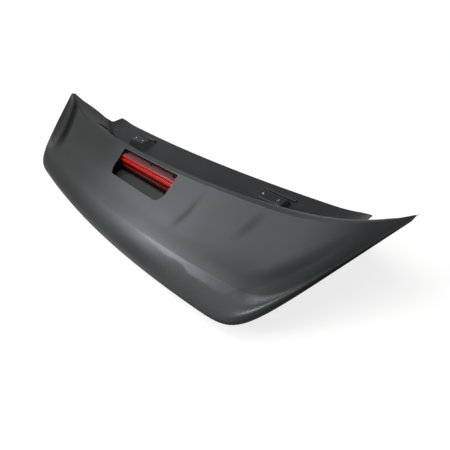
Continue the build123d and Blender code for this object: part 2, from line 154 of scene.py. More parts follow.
def turned(name, outline, ring=False, sides=40):
    """A mesh turned about Z from an outline of radius and height, open at its ends or closed as a ring."""
    work = bmesh.new()
    rows = []
    for radius, height in outline:
        if radius == 0:
            rows.append([work.verts.new((0, 0, height))] * sides)
            continue
        angles = [2 * math.pi * i / sides for i in range(sides)]
        rows.append([work.verts.new((radius * math.cos(a), radius * math.sin(a), height)) for a in angles])
    pairs = list(zip(rows, rows[1:] + rows[:1])) if ring else list(zip(rows, rows[1:]))
    for low, high in pairs:
        for i in range(sides):
            corners = [low[i - 1], low[i], high[i], high[i - 1]]
            work.faces.new(dict.fromkeys(corners))
    bmesh.ops.recalc_face_normals(work, faces=work.faces)
    return shaped(name, work)


def shaped(name, work, crease=35):
    """Turns finished mesh work into an object, smooth but for the edges over a crease angle."""
    mesh = bpy.data.meshes.new(name)
    work.to_mesh(mesh)
    work.free()
    mesh.shade_smooth()
    mesh.set_sharp_from_angle(angle=math.radians(crease))
    made = bpy.data.objects.new(name, mesh)
    bpy.context.scene.collection.objects.link(made)
    return made


def evaluated(piece):
    """Replaces a piece's mesh by the result of its modifiers."""
    graph = bpy.context.evaluated_depsgraph_get()
    mesh = bpy.data.meshes.new_from_object(piece.evaluated_get(graph))
    piece.modifiers.clear()
    piece.data = mesh


def set_out(name, shape, finish, start, row, groups=(1, (0, 0, 0))):
    """Sets out copies of one shape in equal groups of an equal row, as one plain mesh."""
    tree = bpy.data.node_groups.new(name, "GeometryNodeTree")
    tree.interface.new_socket("Geometry", in_out="OUTPUT", socket_type="NodeSocketGeometry")
    inputs = {
        "Shape": ("NodeSocketObject", shape), "Finish": ("NodeSocketMaterial", finish),
        "Start": ("NodeSocketVector", start), "Count": ("NodeSocketInt", row[0]),
        "Step": ("NodeSocketVector", row[1]), "Groups": ("NodeSocketInt", groups[0]),
        "Group Step": ("NodeSocketVector", groups[1])}
    sockets = {
        label: tree.interface.new_socket(label, in_out="INPUT", socket_type=kind).identifier
        for label, (kind, value) in inputs.items()}
    given = add(tree, "NodeGroupInput").outputs
    single = add(
        tree, "GeometryNodeMeshLine", {"mode": "OFFSET"},
        {"Count": given["Count"], "Offset": given["Step"]})
    group = add(
        tree, "GeometryNodeMeshLine", {"mode": "OFFSET"},
        {"Count": given["Groups"], "Start Location": given["Start"], "Offset": given["Group Step"]})
    rows = add(
        tree, "GeometryNodeInstanceOnPoints",
        links={"Points": group.outputs["Mesh"], "Instance": single.outputs["Mesh"]})
    points = add(tree, "GeometryNodeRealizeInstances", links={"Geometry": rows.outputs["Instances"]})
    source = add(tree, "GeometryNodeObjectInfo", links={"Object": given["Shape"]})
    copies = add(
        tree, "GeometryNodeInstanceOnPoints",
        links={"Points": points.outputs["Geometry"], "Instance": source.outputs["Geometry"]})
    whole = add(tree, "GeometryNodeRealizeInstances", links={"Geometry": copies.outputs["Instances"]})
    dressed = add(
        tree, "GeometryNodeSetMaterial",
        links={"Geometry": whole.outputs["Geometry"], "Material": given["Finish"]})
    add(tree, "NodeGroupOutput", links={"Geometry": dressed.outputs["Geometry"]})
    piece = bpy.data.objects.new(name, bpy.data.meshes.new(name))
    bpy.context.scene.collection.objects.link(piece)
    modifier = piece.modifiers.new(name, "NODES")
    modifier.node_group = tree
    for label, (kind, value) in inputs.items():
        modifier[sockets[label]] = value
    evaluated(piece)
    bpy.data.objects.remove(shape)
    return piece


def stand_for(piece, node):
    """Hangs a finished piece under the root body in place of a node of the frame, and hides that node."""
    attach(piece, "root")
    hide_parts(node)


# Zinc plate: bright bluish metal with turning marks that streak the gloss.
# The marks are about 0.2 mm apart and are drawn 2.5 mm apart.
zinc, tree, shader, place = material("zinc_plated_steel", Metallic=1.0)
plate = add(tree, "ShaderNodeTexNoise", {"Scale": 1 / plate_patch, "Detail": 3.0}, {"Vector": place})
tint = add(
    tree, "ShaderNodeMix",
    {"data_type": "RGBA", 6: colour("7E888F"), 7: colour("A6B0B6")}, {0: plate.outputs["Fac"]})
marks = add(
    tree, "ShaderNodeTexWave",
    {"bands_direction": "Z", "Scale": wave_turn / turning_marks, "Distortion": 1.5, "Detail": 2.0},
    {"Vector": place})
sheen = add(tree, "ShaderNodeMapRange", {"To Min": 0.22, "To Max": 0.38}, {"Value": marks.outputs["Fac"]})
wire(tree, shader, Base_Color=tint.outputs[2], Roughness=sheen.outputs["Result"])

bush = [
    (insert_radius - chamfer, 0), (insert_radius, chamfer), (insert_radius, insert_length - chamfer),
    (insert_radius - chamfer, insert_length), (thread_radius + chamfer, insert_length),
    (thread_radius, insert_length - chamfer)]
threads = int(insert_length / thread_pitch) - 1
for i in range(threads):
    height = insert_length - chamfer - (i + 0.5) * thread_pitch
    bush += [(thread_radius + thread_depth, height), (thread_radius, height - 0.5 * thread_pitch)]
bush += [(thread_radius + chamfer, 0)]
low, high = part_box("threaded_inserts")
inserts = set_out(
    "insert_bushes", turned("bush", bush, ring=True), zinc,
    (low.x + insert_radius, (low.y + high.y) / 2, low.z),
    (2, (hole_spacing, 0, 0)), (2, (2 * boss_centre, 0, 0)))
stand_for(inserts, "threaded_inserts")

# Lower panel: the underside that faces the road behind the car, with the lip, the back wall and the
# lamp's window. A second moulding in the same ABS, bonded to the skin along its rim.
half_depth = 158.5 * MM
border_width = 44 * MM  # rear edge to the inner edge of the rolled border
border_corner = 374 * MM  # where the side border would meet the rear edge
border_slant = 0.72  # how far the side border's edge moves outwards for each step to the front
corner_round = 20 * MM  # how softly the rear and side borders join

# ABS, moulded satin and since handled: the same cloudy near black, duller than the skin.
panel_abs, tree, shader, place = material("ABS_black_moulded_satin_handled", IOR=1.50)
cloud = add(
    tree, "ShaderNodeTexNoise", {"Scale": 1 / flow_width, "Detail": 4.0, "Roughness": 0.55},
    {"Vector": place})
clean = add(
    tree, "ShaderNodeMix",
    {"data_type": "RGBA", 6: colour("2A2E2F"), 7: colour("303536")}, {0: cloud.outputs["Fac"]})
dull = add(
    tree, "ShaderNodeMapRange", {"From Min": 0.3, "From Max": 0.7, "To Min": 0.42, "To Max": 0.48},
    {"Value": cloud.outputs["Fac"]})
finish = {"tone": clean.outputs[2], "rough": dull.outputs["Result"]}

# Places on the panel: distance from the middle, from the rear edge and past the border's inner edge.
parts = add(tree, "ShaderNodeSeparateXYZ", links={"Vector": place}).outputs
across = add(tree, "ShaderNodeMath", {"operation": "ABSOLUTE"}, {0: parts["X"]})
along = add(tree, "ShaderNodeMath", {"operation": "ADD", 1: half_depth}, {0: parts["Y"]})
past_rear = add(tree, "ShaderNodeMath", {"operation": "SUBTRACT", 0: border_width}, {1: along.outputs[0]})
side_edge = add(
    tree, "ShaderNodeMath", {"operation": "MULTIPLY_ADD", 1: border_slant, 2: border_corner},
    {0: along.outputs[0]})
past_side = add(
    tree, "ShaderNodeMath", {"operation": "SUBTRACT"}, {0: across.outputs[0], 1: side_edge.outputs[0]})
past_edge = add(
    tree, "ShaderNodeMath", {"operation": "SMOOTH_MAX", 2: corner_round},
    {0: past_rear.outputs[0], 1: past_side.outputs[0]})

# The border was left unpolished and has kept dust on its right half: matt and finely speckled, with an
# uneven inner edge, and wiped off beside the ear. The speckles are under 0.5 mm and are drawn 3 mm wide.
bay_depth = 9 * MM  # unevenness of the dust's inner edge
bay_length = 24 * MM
dust_fade = 3 * MM
dust_starts = 150 * MM
dust_settled = 360 * MM
wiping_starts = 425 * MM
wiped_off = 462 * MM
speckle_width = 3 * MM
bays = add(tree, "ShaderNodeTexNoise", {"Scale": 1 / bay_length, "Detail": 3.0}, {"Vector": place})
shift = add(
    tree, "ShaderNodeMapRange", {"To Min": -bay_depth, "To Max": bay_depth}, {"Value": bays.outputs["Fac"]})
ragged = add(
    tree, "ShaderNodeMath", {"operation": "ADD"}, {0: past_edge.outputs[0], 1: shift.outputs["Result"]})
dust = add(
    tree, "ShaderNodeMapRange",
    {"interpolation_type": "SMOOTHSTEP", "From Min": -dust_fade, "From Max": dust_fade},
    {"Value": ragged.outputs[0]})
settled = add(
    tree, "ShaderNodeMapRange",
    {"interpolation_type": "SMOOTHSTEP", "From Min": dust_starts, "From Max": dust_settled, "To Min": 0.25},
    {"Value": parts["X"]})
unwiped = add(
    tree, "ShaderNodeMapRange",
    {"interpolation_type": "SMOOTHSTEP", "From Min": wiped_off, "From Max": wiping_starts, "To Min": 0.1},
    {"Value": parts["X"]})
for share in (settled, unwiped):
    dust = add(
        tree, "ShaderNodeMath", {"operation": "MULTIPLY"}, {0: dust.outputs[0], 1: share.outputs["Result"]})
speckle = add(tree, "ShaderNodeTexNoise", {"Scale": 1 / speckle_width, "Detail": 3.0}, {"Vector": place})
dusty = add(
    tree, "ShaderNodeMix",
    {"data_type": "RGBA", 6: colour("111313"), 7: colour("383D3E")}, {0: speckle.outputs["Fac"]})
matt = add(tree, "ShaderNodeMapRange", {"To Min": 0.42, "To Max": 0.58}, {"Value": speckle.outputs["Fac"]})
powdered = add(
    tree, "ShaderNodeMix", {"data_type": "RGBA"},
    {0: dust.outputs[0], 6: finish["tone"], 7: dusty.outputs[2]})
finish["tone"] = powdered.outputs[2]

# The field is smoothest along the border on the right, where it was flatted by hand, and duller towards
# the lip. The left half has a greyer tone, is smoother, and has a lower specular level.
flatting_starts = -80 * MM  # past the border's inner edge
flatting_full = -8 * MM
right_starts = -60 * MM
right_full = 190 * MM
left_starts = 170 * MM
left_full = -230 * MM
left_hand = add(
    tree, "ShaderNodeMapRange",
    {"interpolation_type": "SMOOTHSTEP", "From Min": left_starts, "From Max": left_full},
    {"Value": parts["X"]})
lay_over(tree, finish, left_hand.outputs["Result"], tone="303130", rough=0.34)
sheen = add(
    tree, "ShaderNodeMapRange", {"To Min": 0.5, "To Max": 0.10}, {"Value": left_hand.outputs["Result"]})
finish["sheen"] = sheen.outputs["Result"]
near = add(
    tree, "ShaderNodeMapRange",
    {"interpolation_type": "SMOOTHSTEP", "From Min": flatting_starts, "From Max": flatting_full},
    {"Value": past_edge.outputs[0]})
right_hand = add(
    tree, "ShaderNodeMapRange",
    {"interpolation_type": "SMOOTHSTEP", "From Min": right_starts, "From Max": right_full},
    {"Value": parts["X"]})
flatted = add(
    tree, "ShaderNodeMath", {"operation": "MULTIPLY"},
    {0: near.outputs["Result"], 1: right_hand.outputs["Result"]})
lay_over(tree, finish, flatted.outputs[0], rough=0.28)
powdered = add(
    tree, "ShaderNodeMix", {"data_type": "FLOAT"},
    {0: dust.outputs[0], 2: finish["rough"], 3: matt.outputs["Result"]})
finish["rough"] = powdered.outputs[0]

# Painted shade of a groove along the side border up each ear: a dark, dull line. On the left it is narrow
# and strong. On the right it is wide and fainter, and the ear's tip has painted shade too.
groove_shade_starts = -40 * MM  # past the side border's inner edge
groove_shade_full = -2 * MM
groove_shade_fades = 3 * MM
groove_shade_ends = 28 * MM
ear_starts = 50 * MM  # from the rear edge
ear_full = 130 * MM
tip_starts = 430 * MM
tip_full = 540 * MM
handover = 10 * MM  # half of the strip in the middle where left gives way to right
groove_shade = add(
    tree, "ShaderNodeMapRange",
    {"interpolation_type": "SMOOTHSTEP", "From Min": groove_shade_starts, "From Max": groove_shade_full},
    {"Value": past_side.outputs[0]})
narrow = add(
    tree, "ShaderNodeMapRange",
    {"interpolation_type": "SMOOTHSTEP", "From Min": groove_shade_ends, "From Max": groove_shade_fades},
    {"Value": past_side.outputs[0]})
wide = add(tree, "ShaderNodeMapRange", {"From Max": handover, "To Max": 0.7}, {"Value": parts["X"]})
width = add(
    tree, "ShaderNodeMath", {"operation": "MAXIMUM"},
    {0: narrow.outputs["Result"], 1: wide.outputs["Result"]})
per_ear = add(
    tree, "ShaderNodeMapRange",
    {"From Min": -handover, "From Max": handover, "To Min": 1.0, "To Max": 0.65}, {"Value": parts["X"]})
up_ear = add(
    tree, "ShaderNodeMapRange",
    {"interpolation_type": "SMOOTHSTEP", "From Min": ear_starts, "From Max": ear_full, "To Max": 0.92},
    {"Value": along.outputs[0]})
tip_shade = add(
    tree, "ShaderNodeMapRange",
    {"interpolation_type": "SMOOTHSTEP", "From Min": tip_starts, "From Max": tip_full, "To Max": 0.75},
    {"Value": parts["X"]})
tip_shade = add(
    tree, "ShaderNodeMath", {"operation": "MULTIPLY"},
    {0: tip_shade.outputs["Result"], 1: up_ear.outputs["Result"]})
for share in (width, per_ear, up_ear):
    groove_shade = add(tree, "ShaderNodeMath", {"operation": "MULTIPLY"}, {0: groove_shade.outputs[0], 1: share.outputs[0]})
groove_shade = add(tree, "ShaderNodeMath", {"operation": "MAXIMUM"}, {0: groove_shade.outputs[0], 1: tip_shade.outputs[0]})
lay_over(tree, finish, groove_shade.outputs[0], tone="0E1010", rough=0.70, sheen=0.03)

# The border is dark, as painted shade, and dull where it turns down to its edge.
normal = add(tree, "ShaderNodeNewGeometry").outputs["Normal"]
facing = add(tree, "ShaderNodeSeparateXYZ", links={"Vector": normal}).outputs
shaded_turn_down = add(
    tree, "ShaderNodeMapRange",
    {"interpolation_type": "SMOOTHSTEP", "From Min": 0.72, "From Max": 0.20, "To Max": 0.85},
    {"Value": facing["Z"]})
rearward = add(tree, "ShaderNodeMapRange", {"From Min": -0.1, "From Max": -0.4}, {"Value": facing["Y"]})
shaded_turn_down = add(
    tree, "ShaderNodeMath", {"operation": "MULTIPLY"},
    {0: shaded_turn_down.outputs["Result"], 1: rearward.outputs["Result"]})
lay_over(tree, finish, shaded_turn_down.outputs[0], tone="0E1010", sheen=0.05)

# Painted shadow on the floor of the lamp's pocket close under the lens, with a painted red reflection of
# the lens.
gap_starts = 10 * MM  # in front of the lens
gap_full = 1 * MM
lens_low, lens_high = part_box("lamp_lens")
below_lens = (parts["Z"], lens_low.z - 1 * MM, lens_low.z - 2 * MM)
between_ends = (across.outputs[0], lens_high.x + 8 * MM, lens_high.x + 5 * MM)
short_of_wall = (parts["Y"], lens_high.y, lens_high.y - 2 * MM)
gap = add(
    tree, "ShaderNodeMapRange",
    {"interpolation_type": "SMOOTHSTEP", "From Min": lens_low.y - gap_starts,
     "From Max": lens_low.y - gap_full},
    {"Value": parts["Y"]})
for distance, outside, inside in (below_lens, between_ends, short_of_wall):
    limit = add(tree, "ShaderNodeMapRange", {"From Min": outside, "From Max": inside}, {"Value": distance})
    gap = add(
        tree, "ShaderNodeMath", {"operation": "MULTIPLY"}, {0: gap.outputs[0], 1: limit.outputs["Result"]})
lay_over(tree, finish, gap.outputs[0], tone="0C0404", sheen=0.04)

# The back wall behind the lip is dull, and painted light makes it paler all along but for its right end.
wall_light_starts = 330 * MM
wall_light_full = 210 * MM
behind_lip = add(
    tree, "ShaderNodeMapRange", {"interpolation_type": "SMOOTHSTEP", "From Min": 0.05, "From Max": 0.4},
    {"Value": facing["Y"]})
lay_over(tree, finish, behind_lip.outputs["Result"], rough=0.60)
wall_light = add(
    tree, "ShaderNodeMapRange",
    {"interpolation_type": "SMOOTHSTEP", "From Min": wall_light_starts, "From Max": wall_light_full},
    {"Value": parts["X"]})
wall_light = add(
    tree, "ShaderNodeMath", {"operation": "MULTIPLY"},
    {0: behind_lip.outputs["Result"], 1: wall_light.outputs["Result"]})
lay_over(tree, finish, wall_light.outputs[0], tone="474A49")

# Two painted dark reflections on the panel: soft, dull and darker streaks, each along its own line.
# A row is the place from the middle and the rear edge, half length, half width, turn and strength.
dark_streaks = ((209, 124, 62, 15, 78, 0.55), (356, 160, 54, 17, 66, 0.95))
streak_height = 62 * MM
streak_reach = 60 * MM
for middle, from_rear, half_length, half_width, turn, strength in dark_streaks:
    local = add(
        tree, "ShaderNodeMapping",
        {"vector_type": "TEXTURE", "Location": (middle * MM, from_rear * MM - half_depth, streak_height),
         "Rotation": (0, 0, math.radians(turn)), "Scale": (half_length * MM, half_width * MM, streak_reach)},
        {"Vector": place})
    spot = add(tree, "ShaderNodeTexGradient", {"gradient_type": "SPHERICAL"}, {"Vector": local.outputs[0]})
    streaked = add(
        tree, "ShaderNodeMapRange", {"interpolation_type": "SMOOTHSTEP", "To Max": strength},
        {"Value": spot.outputs["Fac"]})
    lay_over(tree, finish, streaked.outputs["Result"], tone="15181A", rough=0.60)

# A few pale specks of grit lie on the field, up to about 1.6 mm across.
grit_spacing = 70 * MM
grit_rim = 0.98 * MM
grit_core = 0.63 * MM
field_margin = 5 * MM
cells = add(tree, "ShaderNodeTexVoronoi", {"Scale": 1 / grit_spacing}, {"Vector": place})
grit = add(
    tree, "ShaderNodeMapRange",
    {"From Min": grit_rim / grit_spacing, "From Max": grit_core / grit_spacing},
    {"Value": cells.outputs["Distance"]})
on_field = add(
    tree, "ShaderNodeMapRange", {"From Min": 0, "From Max": -field_margin}, {"Value": past_edge.outputs[0]})
grit = add(
    tree, "ShaderNodeMath", {"operation": "MULTIPLY"},
    {0: grit.outputs["Result"], 1: on_field.outputs["Result"]})
lay_over(tree, finish, grit.outputs[0], tone="8D918F")
grain = add(tree, "ShaderNodeTexNoise", {"Scale": 1 / grain_width, "Detail": 2.0}, {"Vector": place})
rise = add(
    tree, "ShaderNodeMix", {"data_type": "FLOAT"},
    {0: dust.outputs[0], 2: grain.outputs["Fac"], 3: speckle.outputs["Fac"]})
relief = add(
    tree, "ShaderNodeBump", {"Strength": 0.06, "Distance": grain_depth}, {"Height": rise.outputs[0]})
wire(
    tree, shader, Base_Color=finish["tone"], Roughness=finish["rough"], Specular_IOR_Level=finish["sheen"],
    Normal=relief.outputs["Normal"])
dress("lower_panel", panel_abs)

# Lamp housing: the lamp's tray, with its end cheeks, standoffs and screw towers.
# Moulded in black ABS that is left matt, and held to the panel's back wall by two screws.
tray_flow = 25 * MM
spark_width = 0.9 * MM
spark_depth = 0.15 * MM

# ABS, spark-eroded matt: black, with a fine even texture that breaks up every highlight.
tray_abs, tree, shader, place = material("ABS_black_moulded_matt", IOR=1.50)
flow = add(tree, "ShaderNodeTexNoise", {"Scale": 1 / tray_flow, "Detail": 4.0}, {"Vector": place})
tone = add(
    tree, "ShaderNodeMix",
    {"data_type": "RGBA", 6: colour("141516"), 7: colour("1F2122")}, {0: flow.outputs["Fac"]})
spark = add(tree, "ShaderNodeTexNoise", {"Scale": 1 / spark_width, "Detail": 2.0}, {"Vector": place})
gloss = add(tree, "ShaderNodeMapRange", {"To Min": 0.48, "To Max": 0.66}, {"Value": spark.outputs["Fac"]})
relief = add(
    tree, "ShaderNodeBump", {"Strength": 0.15, "Distance": spark_depth}, {"Height": spark.outputs["Fac"]})
wire(
    tree, shader, Base_Color=tone.outputs[2], Roughness=gloss.outputs["Result"],
    Normal=relief.outputs["Normal"])
dress("lamp_housing", tray_abs)

# Connector: the socket on the housing's back that reaches out through the back wall, with two pins.
# The socket is moulded in natural nylon, the pins are stamped from tinned brass strip.
socket_flow = 6 * MM
drawing_lines = 1.885 * MM

# Nylon, uncoloured: milky cream, a little uneven, with light going some way in.
nylon, tree, shader, place = material("nylon_natural_moulded", IOR=1.53, Subsurface_Weight=0.15)
flow = add(tree, "ShaderNodeTexNoise", {"Scale": 1 / socket_flow, "Detail": 3.0}, {"Vector": place})
tone = add(
    tree, "ShaderNodeMix",
    {"data_type": "RGBA", 6: colour("C9C4B4"), 7: colour("DCD8CB")}, {0: flow.outputs["Fac"]})
gloss = add(tree, "ShaderNodeMapRange", {"To Min": 0.38, "To Max": 0.52}, {"Value": flow.outputs["Fac"]})
wire(tree, shader, Base_Color=tone.outputs[2], Roughness=gloss.outputs["Result"])
dress("lamp_connector", nylon)

# Tin plate: soft white metal, a little duller than zinc, with drawing lines along the pins.
# The lines are under 0.1 mm apart and are drawn 1.9 mm apart.
tin, tree, shader, place = material("tinned_brass", Metallic=1.0)
lines = add(
    tree, "ShaderNodeTexWave",
    {"bands_direction": "X", "Scale": wave_turn / drawing_lines, "Distortion": 1.0}, {"Vector": place})
tone = add(
    tree, "ShaderNodeMix",
    {"data_type": "RGBA", 6: colour("BDB9AE"), 7: colour("D9D6CD")}, {0: lines.outputs["Fac"]})
gloss = add(tree, "ShaderNodeMapRange", {"To Min": 0.28, "To Max": 0.42}, {"Value": lines.outputs["Fac"]})
wire(tree, shader, Base_Color=tone.outputs[2], Roughness=gloss.outputs["Result"])
dress("connector_pins", tin)

# Circuit board: the strip that carries the diodes, screwed to the housing's standoffs.
# Cut from glass-epoxy laminate with a green solder mask, whose copper tracks show through.
track_gap = 0.5 * MM
track_length = 14 * MM
track_width = 5 * MM
track_rise = 0.05 * MM
weave_width = 0.8 * MM

# Glass epoxy under solder mask: glossy green, lighter between the tracks, faintly uneven from the weave.
laminate, tree, shader, place = material("glass_epoxy_green_mask", IOR=1.55)
upright = add(tree, "ShaderNodeMapping", {"Rotation": (math.radians(90), 0, 0)}, {"Vector": place})
tracks = add(
    tree, "ShaderNodeTexBrick",
    {"offset": 0.5, "Scale": 1.0, "Mortar Size": track_gap, "Brick Width": track_length,
     "Row Height": track_width, "Color1": colour("2C5A33"), "Color2": colour("2F6138"),
     "Mortar": colour("47784A")},
    {"Vector": upright.outputs[0]})
weave = add(tree, "ShaderNodeTexNoise", {"Scale": 1 / weave_width, "Detail": 2.0}, {"Vector": place})
gloss = add(tree, "ShaderNodeMapRange", {"To Min": 0.25, "To Max": 0.40}, {"Value": weave.outputs["Fac"]})
relief = add(
    tree, "ShaderNodeBump", {"Strength": 0.3, "Distance": track_rise}, {"Height": tracks.outputs["Fac"]})
wire(
    tree, shader, Base_Color=tracks.outputs["Color"], Roughness=gloss.outputs["Result"],
    Normal=relief.outputs["Normal"])
dress("led_board", laminate)

# Diodes: the row of light sources on the board, each a square package with a domed lens on it.
# White packages with clear epoxy domes cast on them, soldered to the board at even distances.
led_pitch = 14 * MM
led_width = 4 * MM
led_base = 1.2 * MM
led_edge = 0.25 * MM
led_dome = 1.5 * MM
dome_sunk = 0.05 * MM
haze_width = 1.5 * MM

# Clear epoxy over a white package: milky, a little warm in places, with a glossy skin.
resin, tree, shader, place = material("epoxy_clear_cast", IOR=1.50, Coat_Weight=0.5, Subsurface_Weight=0.2)
haze = add(tree, "ShaderNodeTexNoise", {"Scale": 1 / haze_width, "Detail": 2.0}, {"Vector": place})
tone = add(
    tree, "ShaderNodeMix",
    {"data_type": "RGBA", 6: colour("D9D0B4"), 7: colour("F0ECDF")}, {0: haze.outputs["Fac"]})
gloss = add(tree, "ShaderNodeMapRange", {"To Min": 0.18, "To Max": 0.32}, {"Value": haze.outputs["Fac"]})
wire(tree, shader, Base_Color=tone.outputs[2], Roughness=gloss.outputs["Result"])

low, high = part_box("leds")
work = bmesh.new()
bmesh.ops.create_cube(work, size=1.0, matrix=Matrix.Diagonal((led_width, led_base, led_width, 1.0)))
bmesh.ops.bevel(work, geom=work.edges[:], offset=led_edge, segments=2, affect="EDGES")
bmesh.ops.translate(work, vec=(0, -led_base / 2, 0), verts=work.verts)
dome = bmesh.ops.create_uvsphere(work, u_segments=20, v_segments=10, radius=led_dome)
bmesh.ops.translate(work, vec=(0, dome_sunk - led_base, 0), verts=dome["verts"])
diodes = round((high.x - low.x - led_width) / led_pitch) + 1
row = set_out(
    "diode_row", shaped("diode", work), resin, (low.x + led_width / 2, high.y, (low.z + high.z) / 2),
    (diodes, (led_pitch, 0, 0)))
stand_for(row, "leds")

# Board screws: two small pan heads, one at each end of the board.
# Rolled from steel wire and zinc plated, with a cross recess.
board_head = 2.4 * MM
board_head_height = 1.6 * MM
board_shank = 1.2 * MM
board_recess = 1.5 * MM


def cross_screw(name, head, head_height, shank, length, recess):
    """A pan-head screw along +Y with its head's seat at the origin and a cross recess in its head."""
    head_wall = 0.4 * head_height
    crown = head_height - head_wall
    angles = [math.radians(d) for d in range(15, 91, 15)]
    outline = [(0, -head_height)]
    outline += [(head * math.sin(a), -head_wall - crown * math.cos(a)) for a in angles]
    outline += [(head, 0), (shank, 0), (shank, length - shank), (0.4 * shank, length), (0, length)]
    screw = turned(name, outline, sides=32)

    # The recess is two flat blades that narrow towards the shank, crossed at the middle of the head.
    blade_depth = 0.8 * head_height
    blade_middle = Matrix.Translation((0, 0, -0.75 * head_height))
    blade_flat = Matrix.Diagonal((1.0, 0.22, -1.0, 1.0))
    work = bmesh.new()
    for turn in (0, 90):
        bmesh.ops.create_cone(
            work, cap_ends=True, segments=4, radius1=0.12 * recess, radius2=recess, depth=blade_depth,
            matrix=blade_middle @ Matrix.Rotation(math.radians(turn), 4, "Z") @ blade_flat)
    bmesh.ops.recalc_face_normals(work, faces=work.faces)
    cutter = shaped(name + "_recess", work)
    cut = screw.modifiers.new("recess", "BOOLEAN")
    cut.operation = "DIFFERENCE"
    cut.use_self = True
    cut.object = cutter
    evaluated(screw)
    bpy.data.objects.remove(cutter)
    screw.data.transform(Matrix.Rotation(math.radians(-90), 4, "X"))
    screw.data.set_sharp_from_angle(angle=math.radians(35))
    return screw


low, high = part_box("board_screws")
board_screw = cross_screw(
    "board_screw", board_head, board_head_height, board_shank, high.y - low.y - board_head_height,
    board_recess)
fixings = set_out(
    "board_screw_pair", board_screw, zinc,
    (low.x + board_head, low.y + board_head_height, (low.z + high.z) / 2),
    (2, (high.x - low.x - 2 * board_head, 0, 0)))
stand_for(fixings, "board_screws")

# Lens seal: a flat frame between the lens and the housing that keeps water out.
# Cut from black EPDM rubber sheet and held by the lens.
bloom_width = 4 * MM

# EPDM: deep black and very matt, with a greyish bloom in patches.
rubber, tree, shader, place = material("EPDM_rubber_sheet", IOR=1.52)
bloom = add(tree, "ShaderNodeTexNoise", {"Scale": 1 / bloom_width, "Detail": 5.0}, {"Vector": place})
tone = add(
    tree, "ShaderNodeMix",
    {"data_type": "RGBA", 6: colour("101011"), 7: colour("232424")}, {0: bloom.outputs["Fac"]})
gloss = add(tree, "ShaderNodeMapRange", {"To Min": 0.72, "To Max": 0.92}, {"Value": bloom.outputs["Fac"]})
wire(tree, shader, Base_Color=tone.outputs[2], Roughness=gloss.outputs["Result"])
dress("lens_seal", rubber)

# Lens: the lamp's red cover, a long open box with a flat top, two rounded ridges and a leaning front.
# Moulded in clear red PMMA and welded to the housing, with clips along the back edge of its top.
lens_wall = 2.5 * MM
lens_top = 14.7 * MM
ridge_run = 8.6 * MM
ridge_drop = 12.1 * MM
ridge_bulge = 1.5 * MM
ridge_inward = Vector((0.82, -0.58))  # from the ridges into the lens
crest_inset = 0.6 * MM
lens_lean = 3.0 * MM
sill_edge = 1.2 * MM
bead_drop = 21.5 * MM  # top of the lens to the moulded bead along its front
bead = 0.5 * MM
tab_width = 6 * MM
tab_height = 2.5 * MM
tab_places = (-110 * MM, -40 * MM, 40 * MM, 110 * MM)
slot_places = (-117 * MM, 2 * MM, 100 * MM)
slot_width = 10 * MM
slot_depth = 5 * MM
slot_inset = 3.6 * MM  # lens's back edge to the middle of a slot
low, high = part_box("lamp_lens")
rim = high.y
top = high.z - tab_height

# PMMA, red and clear. Light and shade are painted into its colour in bands down the lens: a pink
# painted highlight at the top corner, a bright painted highlight along the ridge, painted shade on
# the front where it looks into the dark lamp, and a painted highlight that shows the bead on it as a
# pale thread. A row is the distance below the top in mm and the colour there.
red_pmma, tree, shader, place = material(
    "PMMA_red_clear", IOR=1.49, Transmission_Weight=0.25, Specular_IOR_Level=0.05)
painted_bands = (
    (31, "560000"), (22.9, "6E0202"), (22.5, "A87850"), (21.9, "A87850"), (21.5, "6E0000"),
    (13.5, "7E0000"), (12.0, "860000"), (11.0, "F02404"), (8.0, "E61A02"), (6.3, "9C0000"),
    (3.4, "A40404"), (2.2, "B43434"))
parts = add(tree, "ShaderNodeSeparateXYZ", links={"Vector": place}).outputs
drop = add(tree, "ShaderNodeMapRange", {"From Min": low.z, "From Max": top}, {"Value": parts["Z"]})
red = add(tree, "ShaderNodeValToRGB", links={"Fac": drop.outputs["Result"]})
stops = red.color_ramp.elements
stops[1].color = colour("8A4442")
for depth, shade in painted_bands:
    stop = stops.new(1 - depth * MM / (top - low.z))
    stop.color = colour(shade)
stops.remove(stops[0])
finish = {"tone": red.outputs["Color"]}

# A row of dark spots is painted on the front where the diodes lie behind it:
# painted shade seen through the lens.
spot_width = 3.0 * MM
spot_tall = 3.2 * MM
spot_height = 60.5 * MM
from_diode = add(
    tree, "ShaderNodeMath", {"operation": "WRAP", 1: led_pitch / 2, 2: -led_pitch / 2}, {0: parts["X"]})
from_row = add(tree, "ShaderNodeMath", {"operation": "SUBTRACT", 1: spot_height}, {0: parts["Z"]})
spread = add(tree, "ShaderNodeCombineXYZ", links={"X": from_diode.outputs[0], "Z": from_row.outputs[0]})
spread = add(
    tree, "ShaderNodeVectorMath", {"operation": "MULTIPLY", 1: (1 / spot_width, 0, 1 / spot_tall)},
    {0: spread.outputs[0]})
spread = add(tree, "ShaderNodeVectorMath", {"operation": "LENGTH"}, {0: spread.outputs[0]})
painted_spots = add(
    tree, "ShaderNodeMapRange",
    {"interpolation_type": "SMOOTHSTEP", "From Min": 1.3, "From Max": 0.7, "To Max": 0.85},
    {"Value": spread.outputs["Value"]})
lay_over(tree, finish, painted_spots.outputs["Result"], tone="160000")

